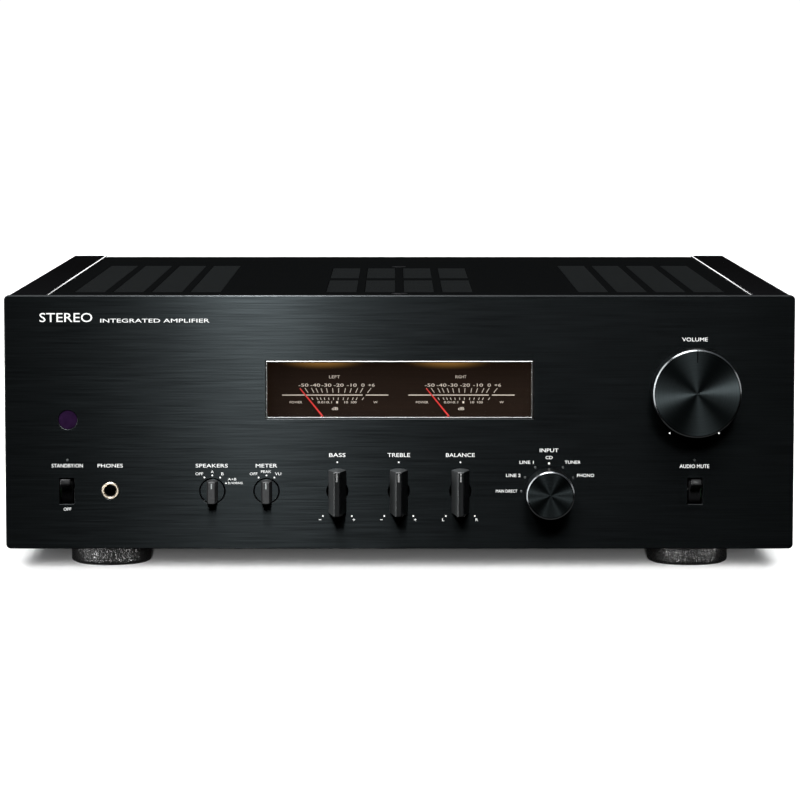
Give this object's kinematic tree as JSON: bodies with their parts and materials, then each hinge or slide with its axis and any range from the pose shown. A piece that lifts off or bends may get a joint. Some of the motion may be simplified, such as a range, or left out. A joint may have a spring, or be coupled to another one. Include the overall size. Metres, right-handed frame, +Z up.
{
  "type": "integrated amplifier",
  "caption": "Full-width hi-fi integrated amplifier: brushed black front with a level-meter window, round and bar knobs, lever switches, vented top, gloss side panels and rear terminals.",
  "frame": {"origin": "on the surface the amplifier stands on, under the middle of its bounding box", "axes": "+X to the right seen from the front, +Y towards the rear (front panel faces -Y), +Z up"},
  "size_m": [0.435, 0.463, 0.157],
  "materials": {
    "anodised": "fine horizontal brushing, black anodised",
    "spun": "spun in circles, black anodised, polished rim",
    "control_metal": "satin, dark anodised",
    "cover_paint": "fine-textured satin black",
    "side_lacquer": "piano-gloss black lacquer",
    "bright_trim": "polished",
    "steel_sheet": "zinc plated",
    "fin_metal": "plain extruded",
    "black_plastic": "fine moulded",
    "foot_rubber": "leather-grained, satin",
    "meter_glass": "clear",
    "dial_print": "matt brown-black with pale printing",
    "needle_red": "satin red",
    "gold_plate": "gold plated",
    "smoked_lens": "smoked purple, glossy",
    "light_pipe": "clear, lit from behind",
    "circuit_board": "green solder mask",
    "case_steel": "grey painted can",
    "screw_black": "black oxide"
  },
  "bodies": {
    "chassis": {"ac_inlet": "black_plastic", "bottom_plate": "steel_sheet", "cover_screw_front": "screw_black", "cover_screw_rear": "screw_black", "filter_capacitor_left": "black_plastic", "filter_capacitor_right": "black_plastic", "foot_front_left": "foot_rubber", "foot_front_right": "foot_rubber", "foot_rear_left": "foot_rubber", "foot_rear_right": "foot_rubber", "front_control_board": "circuit_board", "front_panel": "anodised", "heatsink_left": "fin_metal", "heatsink_right": "fin_metal", "input_encoder": "black_plastic", "input_light_guide": "light_pipe", "jack_block": "black_plastic", "main_board": "circuit_board", "meter_bezel": "bright_trim", "meter_dial": "dial_print", "meter_glass": "meter_glass", "meter_lamp_bar": "light_pipe", "meter_movement_left": "black_plastic", "meter_movement_right": "black_plastic", "mute_light": "light_pipe", "phones_jack": "gold_plate", "power_light": "light_pipe", "power_transformer": "case_steel", "rear_panel": "cover_paint", "remote_sensor_window": "smoked_lens", "side_panel_left": "side_lacquer", "side_panel_right": "side_lacquer", "side_trim_left": "bright_trim", "side_trim_right": "bright_trim", "speaker_terminal_block": "black_plastic", "sub_panel": "steel_sheet", "top_cover": "cover_paint", "vent_mesh": "cover_paint", "volume_control": "black_plastic"},
    "volume": {"volume_knob": "spun"},
    "input_select": {"input_knob": "spun"},
    "bass": {"bass_knob": "control_metal"},
    "treble": {"treble_knob": "control_metal"},
    "balance": {"balance_knob": "control_metal"},
    "speakers_select": {"speakers_knob": "control_metal"},
    "meter_mode": {"meter_knob": "control_metal"},
    "power_switch": {"power_lever": "control_metal"},
    "mute_switch": {"mute_lever": "control_metal"},
    "needle_left": {"meter_needle_left": "needle_red"},
    "needle_right": {"meter_needle_right": "needle_red"},
    "cap_left_1": {"speaker_cap_left_1": "gold_plate"},
    "cap_left_2": {"speaker_cap_left_2": "gold_plate"},
    "cap_left_3": {"speaker_cap_left_3": "gold_plate"},
    "cap_left_4": {"speaker_cap_left_4": "gold_plate"},
    "cap_right_1": {"speaker_cap_right_1": "gold_plate"},
    "cap_right_2": {"speaker_cap_right_2": "gold_plate"},
    "cap_right_3": {"speaker_cap_right_3": "gold_plate"},
    "cap_right_4": {"speaker_cap_right_4": "gold_plate"},
    "ground_screw": {"ground_nut": "gold_plate"},
    "standby_switch": {"standby_slider": "black_plastic"}
  },
  "joints": [
    {"name": "volume_turn", "type": "hinge", "parent": "chassis", "child": "volume", "pos_m": [0.1625, -0.2085, 0.1044], "axis": [0, 1, 0], "range_deg": [-150, 150]},
    {"name": "input_turn", "type": "hinge", "parent": "chassis", "child": "input_select", "pos_m": [0.0825, -0.2085, 0.0488], "axis": [0, 1, 0], "continuous": true},
    {"name": "bass_turn", "type": "hinge", "parent": "chassis", "child": "bass", "pos_m": [-0.0343, -0.2085, 0.0488], "axis": [0, 1, 0], "range_deg": [-150, 150]},
    {"name": "treble_turn", "type": "hinge", "parent": "chassis", "child": "treble", "pos_m": [-0.0004, -0.2085, 0.0488], "axis": [0, 1, 0], "range_deg": [-150, 150]},
    {"name": "balance_turn", "type": "hinge", "parent": "chassis", "child": "balance", "pos_m": [0.0336, -0.2085, 0.0488], "axis": [0, 1, 0], "range_deg": [-150, 150]},
    {"name": "speakers_turn", "type": "hinge", "parent": "chassis", "child": "speakers_select", "pos_m": [-0.1033, -0.2085, 0.0488], "axis": [0, 1, 0], "range_deg": [-30, 60]},
    {"name": "meter_mode_turn", "type": "hinge", "parent": "chassis", "child": "meter_mode", "pos_m": [-0.0734, -0.2085, 0.0488], "axis": [0, 1, 0], "range_deg": [-30, 30]},
    {"name": "power_lever_tilt", "type": "hinge", "parent": "chassis", "child": "power_switch", "pos_m": [-0.1836, -0.2, 0.0488], "axis": [1, 0, 0], "range_deg": [0, 37]},
    {"name": "mute_lever_tilt", "type": "hinge", "parent": "chassis", "child": "mute_switch", "pos_m": [0.1631, -0.2, 0.0488], "axis": [1, 0, 0], "range_deg": [0, 37], "stiffness_Nm_per_rad": 0.01, "springref_deg": -17.19},
    {"name": "needle_left_swing", "type": "hinge", "parent": "chassis", "child": "needle_left", "pos_m": [-0.0349, -0.2019, 0.0803], "axis": [0, 1, 0], "range_deg": [0, 76], "stiffness_Nm_per_rad": 0.0001, "springref_deg": -20.05},
    {"name": "needle_right_swing", "type": "hinge", "parent": "chassis", "child": "needle_right", "pos_m": [0.0349, -0.2019, 0.0803], "axis": [0, 1, 0], "range_deg": [0, 76], "stiffness_Nm_per_rad": 0.0001, "springref_deg": -20.05},
    {"name": "speaker_cap_left_1_turn", "type": "hinge", "parent": "chassis", "child": "cap_left_1", "pos_m": [-0.01, 0.2225, 0.055], "axis": [0, 1, 0], "range_deg": [0, 1080]},
    {"name": "speaker_cap_left_2_turn", "type": "hinge", "parent": "chassis", "child": "cap_left_2", "pos_m": [-0.038, 0.2225, 0.055], "axis": [0, 1, 0], "range_deg": [0, 1080]},
    {"name": "speaker_cap_left_3_turn", "type": "hinge", "parent": "chassis", "child": "cap_left_3", "pos_m": [-0.066, 0.2225, 0.055], "axis": [0, 1, 0], "range_deg": [0, 1080]},
    {"name": "speaker_cap_left_4_turn", "type": "hinge", "parent": "chassis", "child": "cap_left_4", "pos_m": [-0.094, 0.2225, 0.055], "axis": [0, 1, 0], "range_deg": [0, 1080]},
    {"name": "speaker_cap_right_1_turn", "type": "hinge", "parent": "chassis", "child": "cap_right_1", "pos_m": [0.15, 0.2225, 0.055], "axis": [0, 1, 0], "range_deg": [0, 1080]},
    {"name": "speaker_cap_right_2_turn", "type": "hinge", "parent": "chassis", "child": "cap_right_2", "pos_m": [0.122, 0.2225, 0.055], "axis": [0, 1, 0], "range_deg": [0, 1080]},
    {"name": "speaker_cap_right_3_turn", "type": "hinge", "parent": "chassis", "child": "cap_right_3", "pos_m": [0.094, 0.2225, 0.055], "axis": [0, 1, 0], "range_deg": [0, 1080]},
    {"name": "speaker_cap_right_4_turn", "type": "hinge", "parent": "chassis", "child": "cap_right_4", "pos_m": [0.066, 0.2225, 0.055], "axis": [0, 1, 0], "range_deg": [0, 1080]},
    {"name": "ground_nut_turn", "type": "hinge", "parent": "chassis", "child": "ground_screw", "pos_m": [0.1765, 0.2165, 0.12], "axis": [0, 1, 0], "range_deg": [0, 720]},
    {"name": "standby_slide", "type": "slide", "parent": "chassis", "child": "standby_switch", "axis": [1, 0, 0], "range_m": [0, 0.005]}
  ]
}
